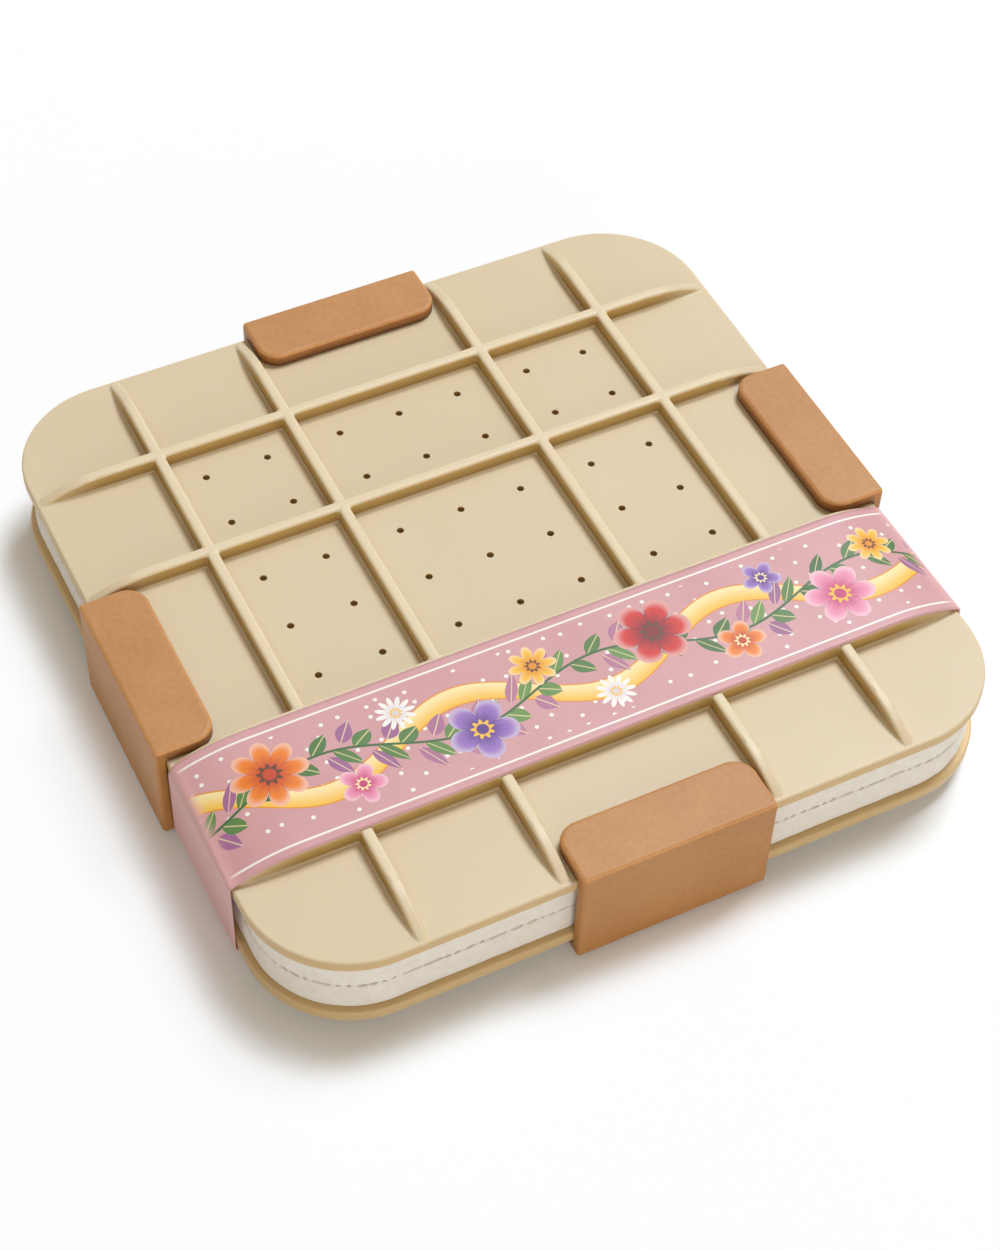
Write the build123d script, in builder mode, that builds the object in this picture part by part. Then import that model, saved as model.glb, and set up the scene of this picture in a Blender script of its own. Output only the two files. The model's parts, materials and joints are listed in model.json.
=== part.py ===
"""Flower press: two ribbed, vented plates that squeeze two felt pads and two cloth liners.

Four clips slide over the plates' edges and hold the stack, and a card sleeve goes round it.
Millimetres, +Z up, origin under the middle of the press, on the surface that it lies on.
"""
import os
from math import acos, degrees, radians, tan

from build123d import *

os.makedirs("parts", exist_ok=True)

# Plates
plate_width = 152.0
plate_corner_radius = 21.0
plate_thickness = 2.6
plate_outer_edge_radius = 0.55
plate_inner_edge_radius = 0.5

# Ribs on the plates' outer faces, as many along X as along Y
rib_edge_distance = 26.0
rib_spacing = 28.0
rib_height = 3.2
rib_crest_width = 2.3
rib_crest_radius = 0.75
rib_draft = 3.0
rib_fall_length = 13.85
rib_end_margin = 0.75
rib_sink = 0.2
rib_root_radius = 0.5
rib_joint_radius = 0.6

# Steam vents in the cells between the ribs
vent_diameter = 1.45
vent_pitch = 13.3

# Felt pads and cloth liners between the plates
pad_thickness = 6.6
pad_inset = 1.4
pad_edge_radius = 0.35
liner_thickness = 0.3
liner_inset = 2.0

# Clips
clip_arm_thickness = 2.7
clip_web_thickness = 2.0
clip_reach = 10.6
clip_corner_radius = 4.5
clip_edge_radius = 0.8
clip_grip_gap = 0.1
clip_web_gap = 0.2
clip_side_gap = 0.7

# Card sleeve
sleeve_card_thickness = 0.35
sleeve_gap = 0.15
sleeve_side_gap = 0.3
sleeve_fold_radius = 0.6

# Heights of the stack, from the surface that the sleeve lies on
rib_tip_z = sleeve_card_thickness + sleeve_gap
bottom_outer_z = rib_tip_z + rib_height
bottom_inner_z = bottom_outer_z + plate_thickness
lower_liner_z = bottom_inner_z + pad_thickness
middle_z = lower_liner_z + liner_thickness
upper_pad_z = middle_z + liner_thickness
top_inner_z = upper_pad_z + pad_thickness
top_outer_z = top_inner_z + plate_thickness

# Places across the press, from its middle
plate_half = plate_width / 2
rib_outer_place = plate_half - rib_edge_distance
rib_inner_place = rib_outer_place - rib_spacing
rib_half_length = plate_half - rib_end_margin
rib_flat_half = rib_half_length - rib_fall_length
rib_places = (-rib_outer_place, -rib_inner_place, rib_inner_place, rib_outer_place)
rib_foot_width = rib_crest_width + 2 * rib_height * tan(radians(rib_draft))

cell_middle = (rib_inner_place + rib_outer_place) / 2
vent_near = cell_middle - vent_pitch / 2
vent_far = cell_middle + vent_pitch / 2
vent_places = (-vent_far, -vent_near, -vent_pitch, 0, vent_pitch, vent_near, vent_far)

# Rib, swept along its crest: level in the middle, with ends that fall in an arc into the plate
fall_radius = (rib_fall_length**2 + rib_height**2) / (2 * rib_height)
rib_depth = rib_height + rib_sink
fall_angle = degrees(acos(1 - rib_depth / fall_radius))
rib_bottom_width = rib_crest_width + 2 * rib_depth * tan(radians(rib_draft))

with BuildPart() as rib:
    with BuildLine(Plane.XZ) as crest:
        CenterArc((-rib_flat_half, rib_height - fall_radius), fall_radius, 90 + fall_angle, -fall_angle)
        Line((-rib_flat_half, rib_height), (rib_flat_half, rib_height))
        CenterArc((rib_flat_half, rib_height - fall_radius), fall_radius, 90, -fall_angle)
    with BuildSketch(Plane(crest.line @ 0, x_dir=(0, 1, 0), z_dir=crest.line % 0)) as rib_section:
        with BuildLine():
            Polyline(
                (-rib_crest_width / 2, 0),
                (rib_crest_width / 2, 0),
                (rib_bottom_width / 2, -rib_depth),
                (-rib_bottom_width / 2, -rib_depth),
                close=True,
            )
        make_face()
        fillet(rib_section.vertices().group_by(Axis.Y)[-1], rib_crest_radius)
    sweep(path=crest.line)
    split(bisect_by=Plane.XY.offset(-rib_sink), keep=Keep.TOP)


# An edge that stands up in the corner of two crossing ribs
def is_upright(edge):
    span = edge.bounding_box().size
    return span.Z > rib_height / 2 and max(span.X, span.Y) < rib_crest_width


# Plate moulding, inner face down at its own zero, with crossing ribs on top and vents between them
with BuildPart() as plate_moulding:
    with BuildSketch():
        RectangleRounded(plate_width, plate_width, plate_corner_radius)
    extrude(amount=plate_thickness)
    fillet(plate_moulding.faces().sort_by(Axis.Z)[-1].edges(), plate_outer_edge_radius)
    fillet(plate_moulding.faces().sort_by(Axis.Z)[0].edges(), plate_inner_edge_radius)
    with Locations(*[(0, place, plate_thickness) for place in rib_places]):
        add(rib.part)
    with Locations(*[(place, 0, plate_thickness) for place in rib_places]):
        add(rib.part, rotation=(0, 0, 90))
    upright_edges = plate_moulding.edges().filter_by(is_upright)
    fillet(upright_edges, rib_joint_radius)
    floor_faces = plate_moulding.faces().filter_by_position(Axis.Z, plate_thickness, plate_thickness)
    outer_floor, *cell_floors = floor_faces.sort_by(SortBy.AREA, reverse=True)
    root_edges = outer_floor.inner_wires().edges()
    for cell_floor in cell_floors:
        root_edges += cell_floor.outer_wire().edges()
    fillet(root_edges, rib_root_radius)
    with Locations(*[(x, y, plate_thickness) for x in vent_places for y in vent_places]):
        Hole(vent_diameter / 2)

with BuildPart() as top_plate:
    with Locations((0, 0, top_inner_z)):
        add(plate_moulding.part)
top_plate.part.label = "top_plate"
export_step(top_plate.part, "parts/top_plate.step")

with BuildPart() as bottom_plate:
    with Locations((0, 0, bottom_inner_z)):
        add(plate_moulding.part, rotation=(180, 0, 0))
bottom_plate.part.label = "bottom_plate"
export_step(bottom_plate.part, "parts/bottom_plate.step")

# Felt pads, cut a little smaller than the plates
pad_width = plate_width - 2 * pad_inset
pad_corner_radius = plate_corner_radius - pad_inset

for pad_name, pad_z in (("lower_pad", bottom_inner_z), ("upper_pad", upper_pad_z)):
    with BuildPart() as pad:
        with BuildSketch(Plane.XY.offset(pad_z)):
            RectangleRounded(pad_width, pad_width, pad_corner_radius)
        extrude(amount=pad_thickness)
        fillet(pad.faces().sort_by(Axis.Z)[-1].edges(), pad_edge_radius)
        fillet(pad.faces().sort_by(Axis.Z)[0].edges(), pad_edge_radius)
    pad.part.label = pad_name
    export_step(pad.part, f"parts/{pad_name}.step")

# Cloth liners, which the flowers lie between
liner_width = plate_width - 2 * liner_inset
liner_corner_radius = plate_corner_radius - liner_inset

for liner_name, liner_z in (("lower_liner", lower_liner_z), ("upper_liner", middle_z)):
    with BuildPart() as liner:
        with BuildSketch(Plane.XY.offset(liner_z)):
            RectangleRounded(liner_width, liner_width, liner_corner_radius)
        extrude(amount=liner_thickness)
    liner.part.label = liner_name
    export_step(liner.part, f"parts/{liner_name}.step")

# Clip moulding at the front edge: two arms and a web, open at both ends, between the middle ribs
clip_width = 2 * (rib_inner_place - rib_foot_width / 2 - clip_side_gap)
clip_slot_height = top_outer_z - bottom_outer_z + 2 * clip_grip_gap
clip_height = clip_slot_height + 2 * clip_arm_thickness
clip_slot_depth = clip_reach + clip_web_gap
clip_depth = clip_slot_depth + clip_web_thickness
clip_tip = plate_half - clip_reach

with BuildPart() as clip_moulding:
    with BuildSketch(Plane.YZ):
        from_tip = (Align.MAX, Align.CENTER)
        with Locations((-clip_tip, middle_z)):
            Rectangle(clip_depth, clip_height, align=from_tip)
            Rectangle(clip_slot_depth, clip_slot_height, align=from_tip, mode=Mode.SUBTRACT)
    extrude(amount=clip_width / 2, both=True)
    arm_corners = clip_moulding.edges().filter_by(Axis.Z).group_by(Axis.Y)[-1]
    fillet(arm_corners, clip_corner_radius)
    web_edges = clip_moulding.edges().filter_by(Axis.Z).group_by(Axis.Y)[0]
    arm_faces = clip_moulding.faces().filter_by(Axis.Z).sort_by(Axis.Z)
    fillet(arm_faces[0].edges() + arm_faces[-1].edges() + web_edges, clip_edge_radius)

# The same clip on each edge, turned about the middle of the press
clip_turns = {"clip_front": 0, "clip_right": 90, "clip_back": 180, "clip_left": 270}

for clip_name, clip_turn in clip_turns.items():
    with BuildPart() as clip:
        add(clip_moulding.part, rotation=(0, 0, clip_turn))
    clip.part.label = clip_name
    export_step(clip.part, f"parts/{clip_name}.step")

# Card sleeve round the stack: level on the ribs, bent over their falling ends, folded at the edges
sleeve_back = rib_inner_place
sleeve_front = rib_outer_place + rib_foot_width / 2
sleeve_level = top_outer_z + rib_height + sleeve_gap - middle_z
sleeve_shoulder = top_outer_z + sleeve_gap - middle_z
sleeve_half = plate_half + sleeve_side_gap

with BuildPart() as belly_band:
    sleeve_plane = Plane((0, -sleeve_back, middle_z), x_dir=(1, 0, 0), z_dir=(0, -1, 0))
    with BuildSketch(sleeve_plane) as sleeve_section:
        with BuildLine():
            Line((0, sleeve_level), (rib_flat_half, sleeve_level))
            TangentArc((rib_flat_half, sleeve_level), (sleeve_half, sleeve_shoulder), tangent=(1, 0))
            Line((sleeve_half, sleeve_shoulder), (sleeve_half, -sleeve_shoulder))
            TangentArc((rib_flat_half, -sleeve_level), (sleeve_half, -sleeve_shoulder), tangent=(1, 0))
            Line((rib_flat_half, -sleeve_level), (0, -sleeve_level))
            mirror(about=Plane.YZ)
        make_face()
        corner_columns = sleeve_section.vertices().group_by(Axis.X)
        fillet(corner_columns[0] + corner_columns[-1], sleeve_fold_radius)
        hollow = sleeve_section.sketch_local
        offset(amount=sleeve_card_thickness)
        add(hollow, mode=Mode.SUBTRACT)
    extrude(amount=sleeve_front - sleeve_back)
belly_band.part.label = "belly_band"
export_step(belly_band.part, "parts/belly_band.step")
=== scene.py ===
import json
import math

import bpy
import numpy as np
from mathutils import Matrix, Vector


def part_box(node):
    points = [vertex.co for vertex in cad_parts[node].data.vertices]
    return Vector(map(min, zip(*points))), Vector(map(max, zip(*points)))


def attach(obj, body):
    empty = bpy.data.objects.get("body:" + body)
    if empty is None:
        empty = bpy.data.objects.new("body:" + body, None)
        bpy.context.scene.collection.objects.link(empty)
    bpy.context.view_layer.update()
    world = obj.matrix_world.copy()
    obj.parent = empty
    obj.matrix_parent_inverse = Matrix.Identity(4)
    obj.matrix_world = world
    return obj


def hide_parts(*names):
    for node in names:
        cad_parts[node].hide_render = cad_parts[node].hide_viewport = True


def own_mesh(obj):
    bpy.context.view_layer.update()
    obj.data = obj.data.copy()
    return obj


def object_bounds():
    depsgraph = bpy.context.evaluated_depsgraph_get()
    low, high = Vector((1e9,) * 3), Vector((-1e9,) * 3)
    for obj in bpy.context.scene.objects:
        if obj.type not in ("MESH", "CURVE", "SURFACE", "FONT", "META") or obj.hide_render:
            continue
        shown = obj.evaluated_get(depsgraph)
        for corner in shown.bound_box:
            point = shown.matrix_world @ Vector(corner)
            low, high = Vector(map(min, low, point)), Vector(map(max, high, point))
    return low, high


# Looks of a flower press: moulded plates and clips, felt pads, cloth liners and a printed card sleeve.
# Everything is in metres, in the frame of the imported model, and mm turns millimetres into metres.
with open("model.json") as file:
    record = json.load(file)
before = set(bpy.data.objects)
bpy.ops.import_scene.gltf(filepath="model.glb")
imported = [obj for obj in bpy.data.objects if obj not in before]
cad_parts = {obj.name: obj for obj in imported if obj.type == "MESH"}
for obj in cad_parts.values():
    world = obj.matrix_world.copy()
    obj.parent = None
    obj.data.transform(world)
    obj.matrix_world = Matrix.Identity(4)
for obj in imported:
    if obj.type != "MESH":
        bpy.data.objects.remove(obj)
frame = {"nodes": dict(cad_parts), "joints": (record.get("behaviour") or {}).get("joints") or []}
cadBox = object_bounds()
mm = 0.001
print("frame loaded:", len(frame["nodes"]), "nodes")


class Wire:
    # one socket of a node tree; arithmetic on wires adds Math nodes, and add() makes any other node
    def __init__(self, tree, socket=None):
        self.tree = tree
        self.socket = socket

    def add(self, kind, settings, sockets, out=0):
        node = self.tree.nodes.new("ShaderNode" + kind)
        for name, value in settings.items():
            setattr(node, name, value)
        for name, value in sockets.items():
            if isinstance(value, Wire):
                self.tree.links.new(value.socket, node.inputs[name])
            else:
                node.inputs[name].default_value = value
        return Wire(self.tree, node.outputs[out] if len(node.outputs) else None)

    def math(self, operation, *values):
        return self.add("Math", {"operation": operation}, dict(enumerate(values)))

    def __add__(self, other):
        return self.math("ADD", self, other)

    def __radd__(self, other):
        return self.math("ADD", other, self)

    def __sub__(self, other):
        return self.math("SUBTRACT", self, other)

    def __rsub__(self, other):
        return self.math("SUBTRACT", other, self)

    def __mul__(self, other):
        return self.math("MULTIPLY", self, other)

    def __rmul__(self, other):
        return self.math("MULTIPLY", other, self)

    def __truediv__(self, other):
        return self.math("DIVIDE", self, other)

    def __pow__(self, other):
        return self.math("POWER", self, other)

    def __abs__(self):
        return self.math("ABSOLUTE", self)

    # smooth step: 0 at low and 1 at high, and the other way round where low is above high
    def fade(self, low, high):
        ends = {"From Min": min(low, high), "From Max": max(low, high)}
        step = self.add("MapRange", {"interpolation_type": "SMOOTHSTEP"}, {"Value": self, **ends})
        return step if low < high else 1 - step

    # colour mix by this wire as the factor
    def blend(self, first, second, mode="MIX"):
        settings = {"data_type": "RGBA", "blend_type": mode}
        return self.add("Mix", settings, {0: self, 6: first, 7: second}, out=2)

    # noise on a place in millimetres, with grains of the given size, from 0 to 1
    def noise(self, size, detail=2.0, rough=0.5):
        values = {"Vector": self, "Scale": 1 / size, "Detail": detail, "Roughness": rough}
        return self.add("TexNoise", {}, values)


def srgb(red, green, blue):
    # a colour as a picture shows it, 0 to 255, turned into linear light
    shown = np.array([red, green, blue]) / 255
    linear = np.where(shown <= 0.04045, shown / 12.92, ((shown + 0.055) / 1.055) ** 2.4)
    return (*linear.tolist(), 1.0)


def emptyTree(block):
    # the first wire of a material's or a world's node tree, which is emptied
    block.use_nodes = True
    block.node_tree.nodes.clear()
    return Wire(block.node_tree)


def newFinish(name):
    # an empty material, with its first wire and the place on the piece in millimetres
    material = bpy.data.materials.new(name)
    root = emptyTree(material)
    place = root.add("TexCoord", {}, {}, out="Object")
    place = root.add("VectorMath", {"operation": "SCALE"}, {0: place, "Scale": 1 / mm})
    return material, root, place


def axes(place):
    # the three numbers of a vector, as wires
    return [place.add("SeparateXYZ", {}, {0: place}, out=axis) for axis in "XYZ"]


def closeFinish(root, look, sockets, bump):
    # Principled shader with these sockets, and with the bump and the glow that the look asks for
    normal = root.add("Bump", {}, {"Strength": 1.0, "Distance": look["bumpDepth"], "Height": bump})
    glow = {
        "Subsurface Weight": look["glow"], "Subsurface Radius": look["glowTint"],
        "Subsurface Scale": look["glowReach"],
    } if "glow" in look else {}
    shader = root.add("BsdfPrincipled", {}, {**sockets, **glow, "Normal": normal})
    root.add("OutputMaterial", {}, {"Surface": shader})


def steepness(root):
    # 0 on level faces and 1 on upright ones, from the surface's own normal
    normal = root.add("TexCoord", {}, {}, out="Normal")
    return 1 - abs(axes(normal)[2])


def mouldGrain(place, look):
    # fine grain of a moulded face, and its bump together with wide, shallow dents
    grain = place.noise(look["grainSize"], 2.0)
    dent = place.noise(look["dentSize"], 1.0)
    return grain, grain * 0.5 + dent * 0.5


# Moulded cream plastic of the plates
plateLook = {
    "face": srgb(223, 206, 174), "flow": srgb(217, 198, 162),   # flow: faint clouds from the moulding
    "crest": srgb(230, 214, 182),      # ribs' crests, painted paler as a painted highlight
    "rim": srgb(218, 190, 140),        # upright edges, painted deeper and more golden: painted shade and painted glow of light through the plastic
    "wall": srgb(202, 170, 104), "footShade": srgb(162, 128, 68),    # painted shade on the ribs' sides, deeper towards the floor
    "boreShade": srgb(180, 150, 86), "boresEnd": 60.0,           # painted shade inside the vents, which end this far out
    "cloudSize": 48.0, "cloudFade": (0.3, 0.7), "cloudShare": 0.4, "grainSize": 0.22, "dentSize": 9.0,
    "rough": 0.42, "roughSpread": 0.10, "ior": 1.46, "bumpDepth": 0.012 * mm,
    "glow": 0.55, "glowReach": 1.2 * mm, "glowTint": (1.0, 0.70, 0.36),
    "ribMiddle": 36.0, "ribApart": 14.0,   # ribs lie this far off, on both sides of this place
    "ribHalf": 1.3, "ribHeight": 3.2, "ribLevel": 61.4, "ribEnd": 75.25,
    "crestRound": 0.75, "crestSoft": 0.2,  # the crest's painted highlight comes in over its rounding
    "footFrom": 0.9,                   # share of the ribs' height where the painted shade on their sides begins to deepen
    "shadeReach": 2.0, "shadeShare": 0.18,  # painted shade: the floor is a little deeper beside a rib
    "steepFade": (0.25, 0.9),          # steepness that makes a face an upright one
    "innerFade": (-0.6, -2.0),         # below the outer face, where the inner side gets the rim's colour as painted shade
}


def besideRib(look, across, along):
    # 1 at the side of a rib, 0 further off, for ribs that run along one axis and fall away at their ends
    # this masks the painted shade on the ribs' sides and on the floor beside them
    away = abs(abs(abs(across) - look["ribMiddle"]) - look["ribApart"]) - look["ribHalf"]
    return away.fade(look["shadeReach"], 0.0) * abs(along).fade(look["ribEnd"], look["ribLevel"])


def platePlastic():
    look = plateLook
    material, root, place = newFinish("plate_plastic_cream")
    low, high = (corner / mm for corner in cadBox)
    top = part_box("top_plate")[1].z / mm
    middle = (low.z + high.z) / 2
    rise = look["ribHeight"]
    x, y, z = axes(place)
    cloud = place.noise(look["cloudSize"], 2.0)
    grain, bump = mouldGrain(place, look)
    colour = (cloud.fade(*look["cloudFade"]) * look["cloudShare"]).blend(look["face"], look["flow"])
    # height over the outer face, the same for the upper plate and for the lower one, which is turned over
    height = abs(z - middle) - (top - rise - middle)
    ribs = root.math("MAXIMUM", besideRib(look, x, y), besideRib(look, y, x))
    deep = height.fade(rise * look["footFrom"], 0.0)
    upright = steepness(root).fade(*look["steepFade"])
    crest = rise - look["crestRound"]
    side = upright * ribs * height.fade(rise, crest)
    reach = root.math("MAXIMUM", abs(x), abs(y))
    # painted shade inside the vents, and the rim's colour beyond them
    edge = reach.fade(look["boresEnd"], look["boresEnd"] + 1).blend(look["boreShade"], look["rim"])
    # upright faces away from the ribs take these colours as painted shade and glow
    colour = (upright * (1 - ribs)).blend(colour, edge)
    # painted highlight on the ribs' crests
    colour = height.fade(crest, rise - look["crestSoft"]).blend(colour, look["crest"])
    # painted shade on the ribs' sides, darkest at their foot
    colour = side.blend(colour, deep.blend(look["wall"], look["footShade"]))
    # painted shade on the floor beside the ribs
    colour = (ribs * deep * (1 - upright) * look["shadeShare"]).blend(colour, look["wall"])
    # painted shade on the inner side below the outer face
    colour = height.fade(*look["innerFade"]).blend(colour, look["rim"])
    rough = look["rough"] + (grain - 0.5) * look["roughSpread"] + (cloud - 0.5) * look["roughSpread"]
    closeFinish(root, look, {"Base Color": colour, "Roughness": rough, "IOR": look["ior"]}, bump)
    return material


# Moulded caramel plastic of the clips
clipLook = {
    "face": srgb(198, 143, 86),
    # painted highlight on the clips' rounded edges
    "bevelHighlight": srgb(220, 162, 102), "bevelFade": (0.02, 0.3), "bevelShare": 0.9,
    "tip": srgb(176, 118, 64), "under": srgb(104, 66, 34),      # arms' sides, with painted shade, darkest beside the plate
    "armOut": 11.4, "armIn": 9.5,      # from the stack's middle level to the arms' two levels
    "web": srgb(195, 139, 77),
    "plateEdge": 76.0, "edgeSoft": 0.5,                         # the web lies outside the plates' edge
    "steepFade": (0.6, 0.95),          # steepness that makes a face an upright one
    "clouds": (0.88, 0.81, 0.74, 1.0),                          # clouds and specks darken it by this
    "cloudSize": 14.0, "cloudFade": (0.3, 0.7), "cloudShare": 0.6,
    "speckSize": 1.1, "speckFade": (0.4, 0.65), "speckShare": 0.45,
    "grainSize": 0.30, "dentSize": 7.0,
    "rough": 0.48, "roughSpread": 0.12, "ior": 1.46, "bumpDepth": 0.014 * mm,
    "glow": 0.20, "glowReach": 1.0 * mm, "glowTint": (1.0, 0.48, 0.20),
}


def clipPlastic():
    look = clipLook
    material, root, place = newFinish("clip_plastic_caramel")
    cloud = place.noise(look["cloudSize"], 3.0, 0.55)
    speck = place.noise(look["speckSize"], 3.0, 0.6)
    grain, bump = mouldGrain(place, look)
    x, y, z = axes(place)
    low, high = (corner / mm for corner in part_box("clip_front"))
    edge, soft = look["plateEdge"], look["edgeSoft"]
    outside = root.math("MAXIMUM", abs(x), abs(y)).fade(edge - soft, edge + soft)
    # painted shade on the arms' sides, darkest where they meet the plate
    arm = abs(z - (low.z + high.z) / 2).fade(look["armIn"], look["armOut"])
    upright = outside.blend(arm.blend(look["under"], look["tip"]), look["web"])
    slope = steepness(root)
    # painted highlight on the rounded edges
    colour = (slope.fade(*look["bevelFade"]) * look["bevelShare"]).blend(look["face"], look["bevelHighlight"])
    colour = slope.fade(*look["steepFade"]).blend(colour, upright)
    mottle = cloud.fade(*look["cloudFade"]) * look["cloudShare"]
    mottle = mottle + speck.fade(*look["speckFade"]) * look["speckShare"]
    colour = mottle.blend(colour, look["clouds"], "MULTIPLY")
    rough = look["rough"] + (grain - 0.5) * look["roughSpread"]
    closeFinish(root, look, {"Base Color": colour, "Roughness": rough, "IOR": look["ior"]}, bump)
    return material


def dressNodes(nodes, material):
    # a CAD node keeps its mesh and gets the finish in all its slots
    for node in nodes:
        piece = frame["nodes"][node]
        for number in range(len(piece.data.materials)):
            piece.data.materials[number] = material


clips = ["clip_front", "clip_right", "clip_back", "clip_left"]
dressNodes(["top_plate", "bottom_plate"], platePlastic())
dressNodes(clips, clipPlastic())
print("plates and clips dressed")


def newPiece(name, points, quads, fans, material, body, slot):
    # mesh from whole arrays of points, four-sided faces and three-sided ones, riding on its body
    corners = np.concatenate([quads.ravel(), fans.ravel()]).astype(np.int32)
    sizes = np.concatenate([np.full(len(quads), 4), np.full(len(fans), 3)])
    mesh = bpy.data.meshes.new(name)
    mesh.vertices.add(len(points))
    mesh.vertices.foreach_set("co", points.astype(np.float32).ravel())
    mesh.loops.add(len(corners))
    mesh.loops.foreach_set("vertex_index", corners)
    mesh.polygons.add(len(sizes))
    mesh.polygons.foreach_set("loop_start", (np.cumsum(sizes) - sizes).astype(np.int32))
    mesh.update(calc_edges=True)
    mesh.shade_smooth()
    mesh.materials.append(material)
    piece = bpy.data.objects.new(name, mesh)
    bpy.context.scene.collection.objects.link(piece)
    if body:
        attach(piece, body)
    return piece


noFans = np.zeros((0, 3), int)


def gridFaces(rows, columns, wrapRows, wrapColumns):
    # four-sided faces between neighbours of a grid; a wrapped direction joins its last line to its first
    index = np.arange(rows * columns).reshape(rows, columns)
    if wrapRows:
        index = np.concatenate([index, index[:1]])
    if wrapColumns:
        index = np.concatenate([index, index[:, :1]], axis=1)
    ring = [index[:-1, :-1], index[:-1, 1:], index[1:, 1:], index[1:, :-1]]
    return np.stack(ring, axis=-1).reshape(-1, 4)


def slabPiece(name, rings, *rest):
    # rings go from the underside's middle out, up the edge and in over the top; a fan closes each end
    count, around = rings.shape[:2]
    middles = np.stack([rings[0].mean(0), rings[-1].mean(0)])
    points = np.concatenate([rings.reshape(-1, 3), middles])
    this = np.arange(around)
    following = np.roll(this, -1)
    last = (count - 1) * around
    under = np.stack([np.full(around, count * around), following, this], axis=-1)
    over = np.stack([np.full(around, count * around + 1), last + this, last + following], axis=-1)
    quads = gridFaces(count, around, False, True)
    return newPiece(name, points, quads, np.concatenate([under, over]), *rest)


def roundedSquare(half, corner, count):
    # walked anticlockwise in even steps: on each side a straight run, then a quarter arc
    run = 2 * (half - corner)
    walk = np.arange(count) / count * 4
    side = np.floor(walk)
    along = (walk - side) * (run + corner * math.pi / 2)
    turn = np.clip((along - run) / corner, 0, None)
    x = half - corner + corner * np.cos(turn)
    y = corner - half + np.minimum(along, run) + corner * np.sin(turn)
    quarter = side * math.pi / 2
    points = [x * np.cos(quarter) - y * np.sin(quarter), x * np.sin(quarter) + y * np.cos(quarter)]
    outward = [np.cos(turn + quarter), np.sin(turn + quarter)]
    return np.stack(points, axis=-1), np.stack(outward, axis=-1)


lumpWaves = {"count": 28, "spread": (0.6, 1.5), "gain": 0.6}


def lumps(points, size, seed):
    # seamless noise from -1 to 1: cosine waves of about that length in random directions, added up
    draw = np.random.default_rng(seed)
    waves = lumpWaves["count"]
    direction = draw.normal(size=(3, waves))
    direction /= np.linalg.norm(direction, axis=0)
    stretch = draw.uniform(*lumpWaves["spread"], waves) * 2 * math.pi / size
    shift = draw.uniform(0, 2 * math.pi, waves)
    sums = np.cos(points @ (direction * stretch) + shift).sum(-1)
    return np.clip(sums * math.sqrt(2 / waves) * lumpWaves["gain"], -1, 1)


plateCorner = 21.0 * mm                # radius of the plates' corners, seen from above
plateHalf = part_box("top_plate")[1].x


def cornerOf(half):
    # an inset edge keeps the plates' corner centres
    return plateCorner - (plateHalf - half)


def stackRings(edge, outward, inset, height):
    # one ring for each pair of inset and height, the edge moved in by its inset
    flat = edge[None] - outward[None] * inset[:, None, None]
    level = np.broadcast_to(height[:, None, None], (*flat.shape[:2], 1))
    return np.concatenate([flat, level], axis=-1)


def capRings(ring, height, count):
    # level rings from the middle out to the ring, without the ring itself
    shrink = (np.arange(1, count + 1) / (count + 1))[:, None, None]
    return ring[None] * [1, 1, 0] * shrink + [0, 0, height]


# White felt of the pads
feltLook = {
    "body": srgb(249, 245, 238), "shade": srgb(242, 236, 226), "toneFade": (0.38, 0.6),
    "fibreSize": 0.16, "fibreDraw": (1.0, 1.0, 2.2),            # fibres lie level, so they are flatter
    "clumpSize": 2.2, "clumpShare": 0.6, "clumpBump": 0.4,
    "rough": 0.93, "bumpDepth": 0.02 * mm, "sheen": 0.25,
    "glow": 0.2, "glowReach": 0.5 * mm, "glowTint": (1.0, 0.9, 0.8),
}


def padFelt():
    look = feltLook
    material, root, place = newFinish("pad_felt_white")
    clump = place.noise(look["clumpSize"], 4.0, 0.65)
    drawn = root.add("Mapping", {}, {"Vector": place, "Scale": look["fibreDraw"]})
    fibre = drawn.noise(look["fibreSize"], 4.0, 0.7)
    tone = clump * look["clumpShare"] + fibre * (1 - look["clumpShare"])
    colour = tone.fade(*look["toneFade"]).blend(look["shade"], look["body"])
    closeFinish(root, look, {
        "Base Color": colour, "Roughness": look["rough"], "Sheen Weight": look["sheen"],
    }, clump * look["clumpBump"] + fibre)
    return material


felt = {
    "around": 2160, "sideRows": 12, "roundRows": 5, "capRows": 3,
    "plateRound": 0.50 * mm,           # edge towards the plate
    "seamRound": 0.28 * mm,            # edge towards the other pad
    "swell": 0.16 * mm,                # the middle of the edge stands out
    "lipOpen": -0.05 * mm, "lipShut": 0.285 * mm,  # past the liners, tufts all but touch the other pad
    "lipSpread": 0.03 * mm, "lipSize": 3.0 * mm,
    "lipPower": 4, "lipFall": (0.3, 0.0),          # the lip rises late up the side and falls off inwards
    "lipSteps": (0.10 * mm, 0.02 * mm),            # the falling rings lie this far outside the liner
    "tuftPitch": 2.1 * mm, "tuftHalf": (0.30 * mm, 0.70 * mm), "tuftSoft": 0.15 * mm,
    "tuftWander": 0.25, "tuftMissing": 0.2, "tuftSeed": 71,
    "lumpSize": 6.0 * mm, "lumpDepth": 0.07 * mm,
    "fuzzSize": 1.3 * mm, "fuzzDepth": 0.015 * mm,
    "lowerSeed": 11, "upperSeed": 31,
    "linerClear": 0.02 * mm, "fill": 0.9,
    "squeezeShare": 0.5,               # each pad's part in the top plate's travel
}


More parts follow.
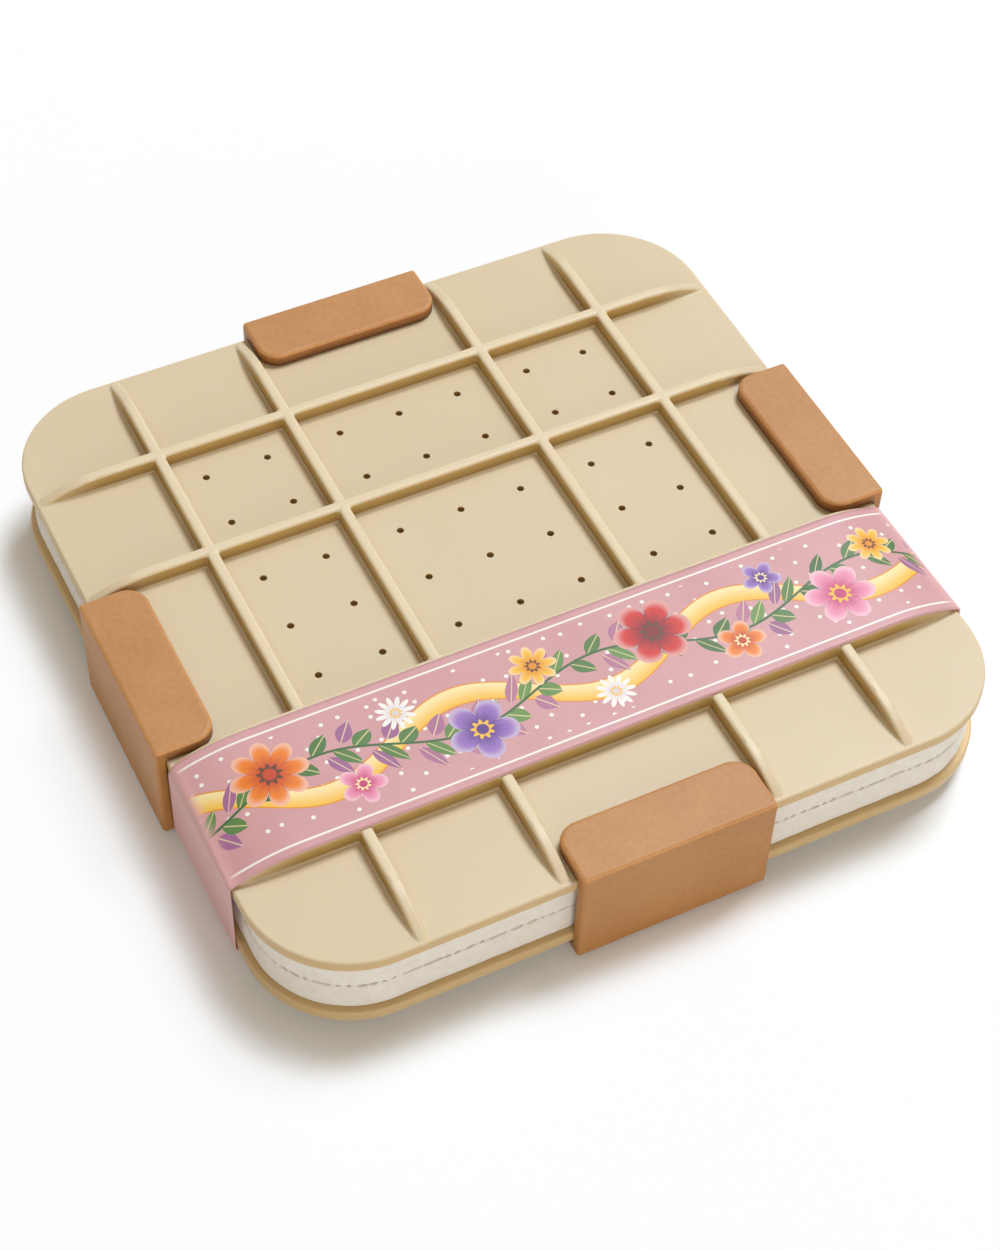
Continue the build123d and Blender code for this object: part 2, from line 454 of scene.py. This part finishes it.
def seamTufts(edge):
    # 1 where a tuft of felt closes the seam, 0 along the open dashes: one tuft in most cells on the way
    draw = np.random.default_rng(felt["tuftSeed"])
    step = np.linalg.norm(np.roll(edge, -1, axis=0) - edge, axis=1)
    walk = np.cumsum(step) - step
    count = round(step.sum() / felt["tuftPitch"])
    pitch = step.sum() / count
    cell = np.minimum(walk // pitch, count - 1).astype(int)
    middle = (np.arange(count) + 0.5 + draw.uniform(-1, 1, count) * felt["tuftWander"]) * pitch
    half = draw.uniform(*felt["tuftHalf"], count)
    half = np.where(draw.random(count) < felt["tuftMissing"], -felt["tuftSoft"], half)
    share = np.clip((half[cell] - abs(walk - middle[cell])) / felt["tuftSoft"] / 2 + 0.5, 0, 1)
    return share * share * (3 - 2 * share)


def feltPad(name, node, body, seed, material):
    # from plate to seam the edge is a quarter round, a swelling side and a small round raised to a lip,
    # which falls back to the face that the liner lies on; noise pushes the side in and out
    low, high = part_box(node)
    thick = high.z - low.z
    linerInset = high.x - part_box("lower_liner")[1].x
    quarter = np.linspace(0, math.pi / 2, felt["roundRows"])
    side = np.linspace(0, 1, felt["sideRows"] + 2)[1:-1]
    bottom, top = felt["plateRound"], thick - felt["seamRound"]
    face = thick - felt["linerClear"]
    inset = np.concatenate([
        felt["plateRound"] * (1 - np.sin(quarter)), -felt["swell"] * np.sin(math.pi * side),
        felt["seamRound"] * (1 - np.cos(quarter)), linerInset - np.array(felt["lipSteps"])])
    height = np.concatenate([
        felt["plateRound"] * (1 - np.cos(quarter)), bottom + (top - bottom) * side,
        top + felt["seamRound"] * np.sin(quarter), [thick, face]])
    lipShare = np.clip(2 * height / thick - 1, 0, 1) ** felt["lipPower"]
    lipShare[-2:] = felt["lipFall"]
    pushShare = np.clip(height / felt["plateRound"], 0, 1)
    pushShare[-2:] = 0
    edge, outward = roundedSquare(high.x, cornerOf(high.x), felt["around"])
    rings = stackRings(edge, outward, inset, height)
    push = felt["lumpDepth"] * lumps(rings, felt["lumpSize"], seed)
    push += felt["fuzzDepth"] * lumps(rings, felt["fuzzSize"], seed + 1)
    rings[..., :2] += outward[None] * (push * pushShare[:, None])[..., None]
    tufts = seamTufts(edge)
    spread = felt["lipSpread"] * lumps(rings[-3] * [1, 1, 0], felt["lipSize"], seed + 2)
    lip = felt["lipOpen"] + spread * (1 - tufts) + (felt["lipShut"] - felt["lipOpen"]) * tufts
    rings[..., 2] += lipShare[:, None] * lip[None]
    under = capRings(rings[0], 0, felt["capRows"])
    over = capRings(rings[-1], face, felt["capRows"])[::-1]
    rings = np.concatenate([under, rings, over])
    if body == "top":                  # the upper pad is the same pad turned over
        rings = rings[::-1] * [1, 1, -1] + [0, 0, high.z]
    else:
        rings = rings + [0, 0, low.z]
    piece = slabPiece(name, rings, material, body, "pad_felt")
    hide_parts(node)
    return piece, thick


def squeeze(piece, thick):
    # works out each pad's share of the top plate's travel, but does not squeeze the pad; the piece only
    # gets its own mesh
    joint = next(joint for joint in frame["joints"] if joint["name"] == "press_squeeze")
    travel = joint["range_m"][1] * felt["squeezeShare"]
    1 - travel / thick
    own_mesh(piece)


feltMaterial = padFelt()
lowerFelt, lowerThick = feltPad("lower_felt", "lower_pad", "base", felt["lowerSeed"], feltMaterial)
upperFelt, upperThick = feltPad("upper_felt", "upper_pad", "top", felt["upperSeed"], feltMaterial)
squeeze(lowerFelt, lowerThick)
squeeze(upperFelt, upperThick)
print("felt pads made")


# Cotton cloth of the liners
clothLook = {
    "thread": srgb(240, 237, 230), "gap": srgb(214, 209, 199), "toneFade": (0.1, 0.7),
    "pitch": 0.55, "turnSoft": 0.1, "slubSize": 2.5, "slubShare": 0.3,
    "rough": 0.88, "bumpDepth": 0.05 * mm, "sheen": 0.2,
}


def linerCloth():
    # plain weave: each thread is a half wave, and warp and weft take turns on top like a chessboard
    look = clothLook
    material, root, place = newFinish("liner_cloth_cotton")
    warp, weft = (root.math("SINE", axis * (math.pi / look["pitch"])) for axis in axes(place)[:2])
    onTop = (warp * weft).fade(-look["turnSoft"], look["turnSoft"])
    weave = abs(warp) * onTop + abs(weft) * (1 - onTop)
    slub = place.noise(look["slubSize"], 3.0)
    tone = weave * (1 - look["slubShare"]) + slub * look["slubShare"]
    colour = tone.fade(*look["toneFade"]).blend(look["gap"], look["thread"])
    closeFinish(root, look, {
        "Base Color": colour, "Roughness": look["rough"], "Sheen Weight": look["sheen"],
    }, weave)
    return material


cloth = {"around": 720, "roundRows": 7, "capRows": 4, "clear": 0.02 * mm}


def linerSheet(name, node, material):
    # a level rounded square with a half-round edge, as thick as the cloth
    low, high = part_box(node)
    bottom, top = low.z + cloth["clear"], high.z - cloth["clear"]
    radius = (top - bottom) / 2
    turn = np.linspace(-math.pi / 2, math.pi / 2, cloth["roundRows"])
    edge, outward = roundedSquare(high.x, cornerOf(high.x), cloth["around"])
    rings = stackRings(edge, outward, radius * (1 - np.cos(turn)), bottom + radius * (1 + np.sin(turn)))
    under = capRings(rings[0], bottom, cloth["capRows"])
    over = capRings(rings[-1], top, cloth["capRows"])[::-1]
    piece = slabPiece(name, np.concatenate([under, rings, over]), material, "liners", "liner_cloth")
    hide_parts(node)


clothMaterial = linerCloth()
linerSheet("lower_cloth", "lower_liner", clothMaterial)
linerSheet("upper_cloth", "upper_liner", clothMaterial)
print("liners made")


# Printed card of the sleeve: a garland of plain blossoms on dusty pink
cardLook = {
    "ground": srgb(217, 165, 168), "groundShade": srgb(211, 157, 161), "cut": srgb(222, 186, 184),
    "side": srgb(232, 180, 180),       # the folded-down walls and the underside
    "toneSize": 18.0, "toneShare": 0.7, "toneFade": (0.35, 0.65), "fleckSize": 0.35,
    "rough": 0.42, "roughSpread": 0.12, "ior": 1.45, "bumpDepth": 0.008 * mm,
    "gloss": 0.08, "glossRough": 0.3,
    "soft": 0.07,                      # width of the printed edges' blur
    "printDepth": 2.0, "printFade": 1.2,   # from this depth below the top the print fades, over this way
    "cutFade": (0.6, 0.9),             # how far a face looks to the front or back to be a cut edge
    "vineWave": 57.0, "vineRise": 3.6, "vineShift": 9.0, "vineWide": 0.28,
    "ribbonWide": 2.3, "ribbonRise": -5.2, "ribbonEdge": 0.3,
    "leafPitch": 8.1, "leafLong": 6.2, "leafWide": 1.45, "leafPoint": 0.8,
    "leafRibs": 3.4, "leafRibFade": (0.25, 0.0), "leafRibShare": 0.35,
    "leafVeinFade": (0.16, 0.05), "leafVeinShare": 0.7,
    "dotPitch": 4.6, "dotWander": 0.7, "dotRadius": 0.42, "dotEdge": 11.2,
    "borderPlace": 12.7, "borderWide": 0.22,
}
ink = {
    "orange": srgb(242, 134, 36), "rust": srgb(196, 66, 20),
    "gold": srgb(250, 196, 70), "amber": srgb(232, 146, 24),
    "red": srgb(214, 48, 38), "wine": srgb(128, 16, 30),
    "rose": srgb(240, 150, 182), "magenta": srgb(196, 62, 116),
    "violet": srgb(158, 118, 196), "plum": srgb(92, 54, 136),
    "white": srgb(252, 249, 244), "pearl": srgb(226, 214, 222),
    "leaf": srgb(112, 150, 78), "moss": srgb(58, 100, 52),
    "mauve": srgb(190, 128, 154), "heather": srgb(160, 102, 148),
    "cream": srgb(254, 236, 178), "bark": srgb(96, 50, 24),
}
# along, across, radius, petals, turn, fullness, point, inner ink, outer ink, heart ink
blossoms = [
    (-61.0, 3.4, 7.6, 8, 0.2, 0.55, 0.6, "rust", "orange", "bark"),
    (-46.5, -5.8, 4.6, 5, 0.5, 0.45, 0.7, "magenta", "rose", "cream"),
    (-34.5, 6.4, 3.9, 12, 0.1, 0.40, 1.0, "pearl", "white", "gold"),
    (-21.5, -3.8, 7.0, 5, 0.9, 0.50, 0.6, "plum", "violet", "gold"),
    (-6.5, 5.6, 4.8, 8, 0.4, 0.50, 0.8, "amber", "gold", "bark"),
    (5.0, -6.4, 3.9, 12, 0.7, 0.40, 1.0, "pearl", "white", "gold"),
    (18.0, 3.4, 7.8, 6, 0.3, 0.60, 0.5, "wine", "red", "bark"),
    (32.5, -5.8, 4.8, 5, 0.2, 0.45, 0.7, "rust", "orange", "cream"),
    (43.5, 6.4, 4.1, 5, 1.1, 0.45, 0.8, "plum", "violet", "cream"),
    (55.5, -3.6, 7.2, 6, 0.6, 0.50, 0.6, "magenta", "rose", "gold"),
    (67.5, 5.4, 4.6, 8, 0.0, 0.50, 0.8, "amber", "gold", "bark"),
]


petal = {
    "bloomFade": (0.12, 0.8),                      # from inner to outer ink, on the way to the rim
    "gapFade": (0.55, 0.0), "gapShare": 0.75,      # deeper between two petals
    "hemFade": (0.72, 1.0), "hemShare": 0.4,       # paler at the rim
    "veins": 5, "veinReach": (1.0, 0.35), "veinFade": (0.3, 1.0), "veinShare": 0.3,
    "heart": 0.27, "heartBumps": 9, "heartSwing": 0.06, "heartEye": 0.17,
}
# along, off the vine, lean, share of the cells that have a leaf, first ink, second ink
leafRows = [
    (2.0, -1.2, 1.0, 0.55, "mauve", "heather"),
    (5.5, 1.2, -1.0, 0.55, "mauve", "heather"),
    (0.0, 0.0, 0.75, 0.95, "leaf", "moss"),
    (4.0, 0.0, -0.75, 0.95, "leaf", "moss"),
]


def printBlossom(root, x, y, ground, spot):
    # petals: the outline's reach swings with the angle as |cos| to a power, n times round
    along, across, radius, petals, turn, fullness, point, inner, outer, heart = spot
    soft = cardLook["soft"] / radius
    dx, dy = x - along, y - across
    reach = root.math("SQRT", dx * dx + dy * dy)
    angle = root.math("ARCTAN2", dy, dx)
    lobe = abs(root.math("COSINE", angle * (petals / 2) + turn))
    rim = (fullness + (1 - fullness) * lobe ** point) * radius
    share = reach / rim
    colour = share.fade(*petal["bloomFade"]).blend(ink[inner], ink[outer])
    colour = (lobe.fade(*petal["gapFade"]) * petal["gapShare"]).blend(colour, ink[inner])
    colour = (share.fade(*petal["hemFade"]) * petal["hemShare"]).blend(colour, ink["white"])
    veins = root.math("SINE", angle * (petals * petal["veins"])) * share.fade(*petal["veinReach"])
    colour = (veins.fade(*petal["veinFade"]) * petal["veinShare"]).blend(colour, ink[inner])
    part = reach / radius
    bumps = root.math("COSINE", angle * petal["heartBumps"]) * petal["heartSwing"] + petal["heart"]
    colour = (part - bumps).fade(soft, -soft).blend(colour, ink[heart])
    colour = part.fade(petal["heartEye"] + soft, petal["heartEye"] - soft).blend(colour, ink[inner])
    return share.fade(1 + soft, 1 - soft).blend(ground, colour)


def printLeaves(root, x, off, lean, share, first, second, ground):
    # almond leaves in that share of the cells along the vine: half width follows a sine from stalk to tip
    look = cardLook
    cell = root.math("FLOOR", x / look["leafPitch"])
    local = x - (cell + 0.5) * look["leafPitch"]
    forth = local * math.cos(lean) + off * math.sin(lean)
    aside = off * math.cos(lean) - local * math.sin(lean)
    way = root.math("MINIMUM", root.math("MAXIMUM", forth / look["leafLong"], 0.0), 1.0)
    half = root.math("SINE", way ** look["leafPoint"] * math.pi) * look["leafWide"]
    chance = root.add("TexWhiteNoise", {"noise_dimensions": "1D"}, {"W": cell})
    mask = (half - abs(aside)).fade(0.0, look["soft"]) * root.math("LESS_THAN", chance, share)
    colour = (chance / share).blend(ink[first], ink[second])
    ribs = abs(root.math("SINE", (forth - abs(aside)) * look["leafRibs"]))
    colour = (ribs.fade(*look["leafRibFade"]) * look["leafRibShare"]).blend(colour, ink[second])
    vein = abs(aside).fade(*look["leafVeinFade"]) * look["leafVeinShare"]
    return mask.blend(ground, vein.blend(colour, ink["cream"]))


def inked(away, half):
    # 1 within this distance of the middle of a printed line or dot, 0 outside it
    return away.fade(half + cardLook["soft"], half - cardLook["soft"])


def sleeveCard():
    look = cardLook
    material, root, place = newFinish("sleeve_card_print")
    low, high = (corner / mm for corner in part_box("belly_band"))
    x, y, z = axes(place)
    y = y - (low.y + high.y) / 2
    fleck = place.noise(look["fleckSize"], 2.0)
    tone = place.noise(look["toneSize"], 3.0) * look["toneShare"] + fleck * (1 - look["toneShare"])
    ground = tone.fade(*look["toneFade"]).blend(look["ground"], look["groundShade"])
    wave = root.math("SINE", (x + look["vineShift"]) * (2 * math.pi / look["vineWave"]))
    # white dots, one in each wandering cell
    flat = root.add("CombineXYZ", {}, {"X": x, "Y": y})
    dots = root.add("TexVoronoi", {"voronoi_dimensions": "2D"}, {
        "Vector": flat, "Scale": 1 / look["dotPitch"], "Randomness": look["dotWander"]})
    dots = inked(dots * look["dotPitch"], look["dotRadius"])
    printed = (dots * root.math("LESS_THAN", abs(y), look["dotEdge"])).blend(ground, ink["white"])
    # gold ribbon that swings against the vine: it pales from edge to edge, and its hems are amber
    across = (y - wave * look["ribbonRise"]) / look["ribbonWide"]
    colour = across.fade(-1.0, 1.0).blend(ink["gold"], ink["cream"])
    hem = 1 - look["ribbonEdge"] / look["ribbonWide"]
    soft = look["soft"] / look["ribbonWide"]
    colour = abs(across).fade(hem - soft, hem + soft).blend(colour, ink["amber"])
    printed = abs(across).fade(1 + soft, 1 - soft).blend(printed, colour)
    # mauve sprigs, then green leaves to both sides of the vine, the vine and its blossoms
    off = y - wave * look["vineRise"]
    for shift, rise, *leaf in leafRows:
        printed = printLeaves(root, x + shift, off + rise, *leaf, printed)
    printed = inked(abs(off), look["vineWide"]).blend(printed, ink["moss"])
    for spot in blossoms:
        printed = printBlossom(root, x, y, printed, spot)
    border = inked(abs(abs(y) - look["borderPlace"]), look["borderWide"])
    printed = border.blend(printed, ink["white"])
    # only the top is printed; the walls and the underside stay plain, and the cut edges are paler
    level = high.z - look["printDepth"]
    colour = z.fade(level - look["printFade"], level).blend(look["side"], printed)
    facing = abs(axes(root.add("TexCoord", {}, {}, out="Normal"))[1])
    colour = facing.fade(*look["cutFade"]).blend(colour, look["cut"])
    rough = look["rough"] + (fleck - 0.5) * look["roughSpread"]
    closeFinish(root, look, {
        "Base Color": colour, "Roughness": rough, "IOR": look["ior"],
        "Coat Weight": look["gloss"], "Coat Roughness": look["glossRough"],
    }, fleck)
    return material


card = {
    "thick": 0.35 * mm,
    "levelHalf": 61.4 * mm,            # the card lies level on the ribs this far from the middle
    "shoulder": 3.2 * mm,              # then bends down to the plate's edge, as deep as the ribs
    "frontFold": 0.9 * mm, "backFold": 3.0 * mm,   # the fold is crisp in front and rounder behind
    "bow": 0.05 * mm, "bowSize": 26 * mm, "bowSeed": 5,
    "levelColumns": 60, "bendColumns": 24, "foldColumns": 12, "wallColumns": 10, "rows": 44,
}


def cardQuarter(fold, low, high):
    # middle line of the card from the top's middle to the wall's middle, for an array of fold radii:
    # level run, big arc, fold arc that touches both the big arc and the wall, then the wall
    half = high.x - card["thick"] / 2
    level = (high.z - low.z) / 2 - card["thick"] / 2
    run = half - card["levelHalf"]
    bend = (run ** 2 + card["shoulder"] ** 2) / (2 * card["shoulder"])
    foldX = half - fold
    foldTurn = np.arcsin((foldX - card["levelHalf"]) / (bend - fold))
    foldZ = level - bend + (bend - fold) * np.cos(foldTurn)
    flat = np.linspace(0, 1, card["levelColumns"], endpoint=False)[None]
    arc = np.linspace(0, 1, card["bendColumns"], endpoint=False)[None] * foldTurn
    tuck = np.linspace(0, 1, card["foldColumns"], endpoint=False)[None]
    tuck = foldTurn + tuck * (math.pi / 2 - foldTurn)
    wall = np.linspace(1, 0, card["wallColumns"])[None]
    same = np.ones_like(fold)
    x = np.concatenate([
        flat * card["levelHalf"] * same, card["levelHalf"] + bend * np.sin(arc),
        foldX + fold * np.sin(tuck), half * np.ones_like(wall) * same], axis=1)
    z = np.concatenate([
        level * np.ones_like(flat) * same, level - bend + bend * np.cos(arc),
        foldZ + fold * np.cos(tuck), foldZ * wall], axis=1)
    turn = np.concatenate([0 * flat * same, arc, tuck, math.pi / 2 * np.ones_like(wall) * same], axis=1)
    return x, z, turn


def sleevePiece(material):
    # the strip's section (outer face, front cut, inner face, back cut), carried round the middle line
    low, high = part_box("belly_band")
    across = np.linspace(high.y, low.y, card["rows"])
    y = np.concatenate([across, across[::-1]])[:, None]
    lift = np.concatenate([np.ones(card["rows"]), -np.ones(card["rows"])])[:, None] * card["thick"] / 2
    share = (high.y - y) / (high.y - low.y)
    fold = card["backFold"] + (card["frontFold"] - card["backFold"]) * share
    x, z, turn = cardQuarter(fold, low, high)
    x = x + lift * np.sin(turn)
    z = z + lift * np.cos(turn)
    upper = np.concatenate([x[:, :-1], x[:, :0:-1]], axis=1)
    x = np.concatenate([upper, -upper], axis=1)
    z = np.concatenate([z[:, :-1], -z[:, :0:-1], -z[:, :-1], z[:, :0:-1]], axis=1)
    middle = (low.z + high.z) / 2
    points = np.stack([x, np.broadcast_to(y, x.shape), z], axis=-1)
    onTop = np.clip(points[..., 2] / (high.z - middle), 0, 1) ** 2
    sag = lumps(points * [1, 1, 0], card["bowSize"], card["bowSeed"]) - 1
    points[..., 2] += middle + onTop * card["bow"] * sag
    faces = gridFaces(*x.shape, True, True)
    points = points.reshape(-1, 3)
    piece = newPiece("card_sleeve", points, faces, noFans, material, "sleeve", "sleeve_card")
    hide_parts("belly_band")


sleevePiece(sleeveCard())
print("sleeve made")


# Floor, light and camera
stage = {
    "floorHalf": 4.0, "floorDrop": 0.02 * mm,
    "floorColour": (0.85, 0.85, 0.85, 1.0), "floorShown": (0.94, 0.96, 0.98, 1.0),
    "floorLift": 0.08,                 # added for the eye alone, so that the open floor shows white
    # the floor's shadow fades close to the press, and far out the floor is as white as the background
    "nearFade": (3 * mm, 13 * mm), "nearShare": 0.76, "farFade": (300 * mm, 900 * mm),
    "worldColour": (1.0, 0.84, 0.62, 1.0), "worldLight": 0.30,
    "keyFrom": (0.72, 0.38, 1.38), "keyAway": 3.5, "keySize": 1.2, "keyPower": 98.0,
    "keyColour": (0.87, 0.93, 1.0),
    "fillFrom": (-0.12, -0.92, 0.28), "fillAway": 3.0, "fillSize": 1.4, "fillPower": 22.0,
    "fillColour": (1.0, 0.97, 0.93),
}


def seenByEye(root):
    # 1 for rays from the camera and for mirrored or transmitted ones
    first, second, third = (root.add("LightPath", {}, {}, out=f"Is {kind} Ray")
                            for kind in ("Camera", "Glossy", "Transmission"))
    return root.math("MAXIMUM", root.math("MAXIMUM", first, second), third)


def paleFloor():
    half = stage["floorHalf"]
    points = np.array([[-half, -half], [half, -half], [half, half], [-half, half]])
    points = np.concatenate([points, np.full((4, 1), -stage["floorDrop"])], axis=1)
    material = bpy.data.materials.new("floor_white")
    root = emptyTree(material)
    matt = root.add("BsdfDiffuse", {}, {"Color": stage["floorColour"]})
    pale = root.add("BsdfDiffuse", {}, {"Color": stage["floorShown"]})
    glow = root.add("Emission", {}, {"Strength": stage["floorLift"]})
    lit = root.add("AddShader", {}, {0: pale, 1: glow})
    x, y = axes(root.add("TexCoord", {}, {}, out="Object"))[:2]
    past = [root.math("MAXIMUM", abs(axis) - (plateHalf - plateCorner), 0.0) for axis in (x, y)]
    away = root.math("SQRT", past[0] * past[0] + past[1] * past[1]) - plateCorner
    share = stage["nearShare"]
    clear = away.fade(*stage["nearFade"]) * share + away.fade(*stage["farFade"]) * (1 - share)
    white = root.add("Emission", {}, {"Strength": 1.0})
    lit = root.add("MixShader", {}, {0: clear, 1: lit, 2: white})
    shown = root.add("MixShader", {}, {0: seenByEye(root), 1: matt, 2: lit})
    root.add("OutputMaterial", {}, {"Surface": shown})
    floor = newPiece("floor", points, np.array([[0, 1, 2, 3]]), noFans, material, None, None)


def whiteWorld():
    world = bpy.data.worlds.new("studio")
    bpy.context.scene.world = world
    root = emptyTree(world)
    strength = stage["worldLight"] + seenByEye(root) * (1 - stage["worldLight"])
    colour = seenByEye(root).blend(stage["worldColour"], (1.0, 1.0, 1.0, 1.0))
    light = root.add("Background", {}, {"Color": colour, "Strength": strength})
    root.add("OutputWorld", {}, {"Surface": light})


def softLamp(name, direction, away, size, power, colour):
    # square lamp at a distance in a direction, turned to the origin
    data = bpy.data.lights.new(name, "AREA")
    data.shape = "SQUARE"
    data.size = size
    data.energy = power
    data.color = colour
    lamp = bpy.data.objects.new(name, data)
    bpy.context.scene.collection.objects.link(lamp)
    toward = Vector(direction).normalized()
    lamp.location = toward * away
    lamp.rotation_mode = "QUATERNION"
    lamp.rotation_quaternion = toward.to_track_quat("Z", "Y")


paleFloor()
whiteWorld()
for lamp in ("key", "fill"):
    softLamp(lamp, *(stage[lamp + part] for part in ("From", "Away", "Size", "Power", "Colour")))

eye = {
    "azimuth": -28.02, "elevation": 50.43, "roll": 2.26,
    "away": 498.3 * mm, "lens": 74.65, "sensor": 36.0, "nearClip": 10 * mm,
    "target": (-6.19 * mm, -16.85 * mm), "below": 3.2 * mm,   # the target lies below the rib crests
}


def photoCamera():
    # looks at the target from azimuth and elevation, then rolls about its own axis
    around, above, roll = (math.radians(eye[name]) for name in ("azimuth", "elevation", "roll"))
    flat = math.cos(above)
    back = Vector((math.sin(around) * flat, -math.cos(around) * flat, math.sin(above)))
    level = Vector((math.cos(around), math.sin(around), 0))
    upright = back.cross(level)
    right = math.cos(roll) * level + math.sin(roll) * upright
    up = math.cos(roll) * upright - math.sin(roll) * level
    data = bpy.data.cameras.new("photo_camera")
    data.lens = eye["lens"]
    data.sensor_width = eye["sensor"]
    data.clip_start = eye["nearClip"]
    camera = bpy.data.objects.new("photo_camera", data)
    bpy.context.scene.collection.objects.link(camera)
    turn = Matrix((right, up, back)).transposed().to_4x4()
    target = Vector((*eye["target"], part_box("top_plate")[1].z - eye["below"]))
    camera.matrix_world = Matrix.Translation(target + back * eye["away"]) @ turn
    bpy.context.scene.camera = camera


photoCamera()
bpy.context.scene.view_settings.view_transform = "Standard"
print("stage set")
